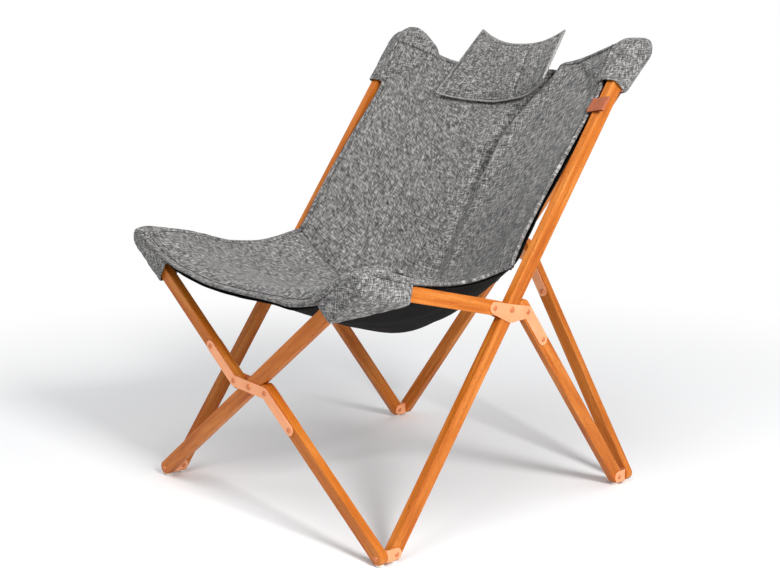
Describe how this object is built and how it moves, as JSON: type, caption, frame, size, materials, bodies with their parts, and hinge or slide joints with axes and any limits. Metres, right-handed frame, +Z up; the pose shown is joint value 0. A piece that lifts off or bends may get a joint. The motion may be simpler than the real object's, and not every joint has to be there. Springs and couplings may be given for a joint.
{
  "type": "butterfly sling chair",
  "caption": "Folding butterfly sling chair: scissor pairs of wooden bars with riveted plates and corner brackets, carrying a cloth sling with pockets, a lining and a headrest pillow.",
  "frame": {"origin": "on the floor, under the middle of the chair's box", "axes": "+X to the right as seen from the front, +Y to the back, +Z up"},
  "size_m": [0.715, 0.7806, 0.9251],
  "materials": {
    "bars": "stained beech, satin, arrises broken",
    "copper_fittings": "copper-plated sheet steel, satin",
    "glides": "moulded, off-white",
    "sling": "grey heather linen-look weave, double-stitched hems",
    "under_sling": "plain black lining cloth",
    "tab": "vegetable-tanned strip, bare"
  },
  "bodies": {
    "rear_right_corner": {"rear_right_foot_bracket": "copper_fittings"},
    "right_leg_side": {"right_rear_leg": "bars", "right_outer_plate": "copper_fittings", "right_inner_plate": "copper_fittings", "right_pivot_rivet": "copper_fittings", "right_rear_leg_glide": "glides"},
    "right_back_side": {"right_long_bar": "bars", "right_long_bar_glide": "glides", "back_cover": "sling", "back_lining": "under_sling", "top_right_pocket": "sling", "leather_tab": "tab"},
    "right_arm": {"right_seat_arm": "bars", "seat_cover": "sling", "seat_lining": "under_sling", "seat_right_pocket": "sling"},
    "front_right_foot_corner": {"front_right_foot_bracket": "copper_fittings"},
    "seat_right_corner": {"seat_right_bracket": "copper_fittings"},
    "front_straight": {"front_straight_bar": "bars", "front_left_foot_rivet": "copper_fittings", "seat_right_rivet": "copper_fittings", "front_left_bar_glide": "glides"},
    "front_offset": {"front_lower_bar": "bars", "front_upper_bar": "bars", "front_outer_plate": "copper_fittings", "front_inner_plate": "copper_fittings", "front_pivot_rivet": "copper_fittings", "front_right_foot_rivet": "copper_fittings", "seat_left_rivet": "copper_fittings", "front_right_bar_glide": "glides"},
    "back_offset": {"back_lower_bar": "bars", "back_upper_bar": "bars", "back_outer_plate": "copper_fittings", "back_inner_plate": "copper_fittings", "back_pivot_rivet": "copper_fittings", "rear_right_foot_rivet": "copper_fittings", "top_left_rivet": "copper_fittings", "back_right_bar_glide": "glides"},
    "back_straight": {"back_straight_bar": "bars", "rear_left_foot_rivet": "copper_fittings", "top_right_rivet": "copper_fittings", "back_left_bar_glide": "glides"},
    "rear_left_corner": {"rear_left_foot_bracket": "copper_fittings"},
    "left_leg_side": {"left_rear_leg": "bars", "left_outer_plate": "copper_fittings", "left_inner_plate": "copper_fittings", "left_pivot_rivet": "copper_fittings", "left_rear_leg_glide": "glides"},
    "left_back_side": {"left_long_bar": "bars", "left_long_bar_glide": "glides", "top_left_pocket": "sling"},
    "left_arm": {"left_seat_arm": "bars", "seat_left_pocket": "sling"},
    "front_left_foot_corner": {"front_left_foot_bracket": "copper_fittings"},
    "seat_left_corner": {"seat_left_bracket": "copper_fittings"},
    "top_right_corner": {"top_right_bracket": "copper_fittings"},
    "top_left_corner": {"top_left_bracket": "copper_fittings"},
    "headrest": {"headrest_pillow": "sling"}
  },
  "joints": [
    {"name": "fold", "type": "hinge", "parent": "right_leg_side", "child": "right_back_side", "pos_m": [0.336, -0.00569, 0.41926], "axis": [1, 0, 0], "range_deg": [0, 65], "deforming": ["seat_cover", "seat_lining", "seat_right_pocket", "seat_left_pocket", "back_cover", "back_lining", "top_right_pocket", "top_left_pocket", "headrest_pillow"]},
    {"name": "right_leg_turn", "type": "hinge", "parent": "rear_right_corner", "child": "right_leg_side", "pos_m": [0.336, 0.32839, 0.01803], "axis": [-1, 0, 0], "range_deg": [-1, 35.63]},
    {"name": "front_right_foot_turn", "type": "hinge", "parent": "right_back_side", "child": "front_right_foot_corner", "pos_m": [0.336, -0.29541, 0.01803], "axis": [-1, 0, 0], "range_deg": [-1, 36.75]},
    {"name": "back_right_bar_turn", "type": "hinge", "parent": "rear_right_corner", "child": "back_offset", "pos_m": [0.336, 0.35979, 0.01803], "axis": [0, 1, -0.0077], "range_deg": [-1, 34.85]},
    {"name": "back_crossing", "type": "hinge", "parent": "back_offset", "child": "back_straight", "pos_m": [0, 0.36314, 0.45461], "axis": [0, -1, 0.0077], "range_deg": [-1, 68.69]},
    {"name": "back_left_bar_turn", "type": "hinge", "parent": "back_straight", "child": "rear_left_corner", "pos_m": [-0.336, 0.35979, 0.01803], "axis": [0, 1, -0.0077], "range_deg": [-1, 34.85]},
    {"name": "left_leg_turn", "type": "hinge", "parent": "rear_left_corner", "child": "left_leg_side", "pos_m": [-0.336, 0.32839, 0.01803], "axis": [-1, 0, 0], "range_deg": [-1, 35.63]},
    {"name": "left_crossing", "type": "hinge", "parent": "left_leg_side", "child": "left_back_side", "pos_m": [-0.336, -0.00569, 0.41926], "axis": [1, 0, 0], "range_deg": [-1, 66]},
    {"name": "front_left_foot_turn", "type": "hinge", "parent": "left_back_side", "child": "front_left_foot_corner", "pos_m": [-0.336, -0.29541, 0.01803], "axis": [-1, 0, 0], "range_deg": [-1, 36.75]},
    {"name": "right_arm_turn", "type": "hinge", "parent": "right_leg_side", "child": "right_arm", "pos_m": [0.336, -0.05199, 0.42916], "axis": [-1, 0, 0], "range_deg": [-1, 40.83]},
    {"name": "left_arm_turn", "type": "hinge", "parent": "left_leg_side", "child": "left_arm", "pos_m": [-0.336, -0.05199, 0.42916], "axis": [-1, 0, 0], "range_deg": [-1, 40.83]},
    {"name": "seat_right_corner_turn", "type": "hinge", "parent": "right_arm", "child": "seat_right_corner", "pos_m": [0.336, -0.3363, 0.50195], "axis": [1, 0, 0], "range_deg": [-1, 70.08]},
    {"name": "seat_right_bar_turn", "type": "hinge", "parent": "seat_right_corner", "child": "front_straight", "pos_m": [0.336, -0.3677, 0.51535], "axis": [0, -0.9966, -0.0819], "range_deg": [-1, 49.49]},
    {"name": "front_crossing", "type": "hinge", "parent": "front_straight", "child": "front_offset", "pos_m": [0, -0.34726, 0.26669], "axis": [0, 0.9966, 0.0819], "range_deg": [-1, 97.97]},
    {"name": "seat_left_corner_turn", "type": "hinge", "parent": "left_arm", "child": "seat_left_corner", "pos_m": [-0.336, -0.3363, 0.50195], "axis": [1, 0, 0], "range_deg": [-1, 70.08]},
    {"name": "top_right_corner_turn", "type": "hinge", "parent": "right_back_side", "child": "top_right_corner", "pos_m": [0.336, 0.33509, 0.8912], "axis": [-1, 0, 0], "range_deg": [-1, 31.37]},
    {"name": "top_left_corner_turn", "type": "hinge", "parent": "left_back_side", "child": "top_left_corner", "pos_m": [-0.336, 0.33509, 0.8912], "axis": [-1, 0, 0], "range_deg": [-1, 31.37]},
    {"name": "headrest_gather", "type": "slide", "parent": "right_back_side", "child": "headrest", "axis": [1, 0, 0], "range_m": [-0.002, 0.304]}
  ],
  "couplings": [
    {"joint": "right_leg_turn", "follows": "fold", "ratio": 0.5327},
    {"joint": "front_right_foot_turn", "follows": "fold", "ratio": 0.54995},
    {"joint": "back_right_bar_turn", "follows": "fold", "ratio": 0.52072},
    {"joint": "back_crossing", "follows": "fold", "ratio": 1.0414},
    {"joint": "back_left_bar_turn", "follows": "fold", "ratio": 0.52072},
    {"joint": "left_leg_turn", "follows": "fold", "ratio": 0.5327},
    {"joint": "left_crossing", "follows": "fold", "ratio": 1},
    {"joint": "front_left_foot_turn", "follows": "fold", "ratio": 0.54995},
    {"joint": "right_arm_turn", "follows": "fold", "ratio": 0.61274},
    {"joint": "left_arm_turn", "follows": "fold", "ratio": 0.61274},
    {"joint": "seat_right_corner_turn", "follows": "fold", "ratio": 1.0628},
    {"joint": "seat_right_bar_turn", "follows": "fold", "ratio": 0.74593},
    {"joint": "front_crossing", "follows": "fold", "ratio": 1.4918},
    {"joint": "seat_left_corner_turn", "follows": "fold", "ratio": 1.0628},
    {"joint": "top_right_corner_turn", "follows": "fold", "ratio": 0.4673},
    {"joint": "top_left_corner_turn", "follows": "fold", "ratio": 0.4673},
    {"joint": "headrest_gather", "follows": "fold", "m_per_rad": 0.26455}
  ]
}
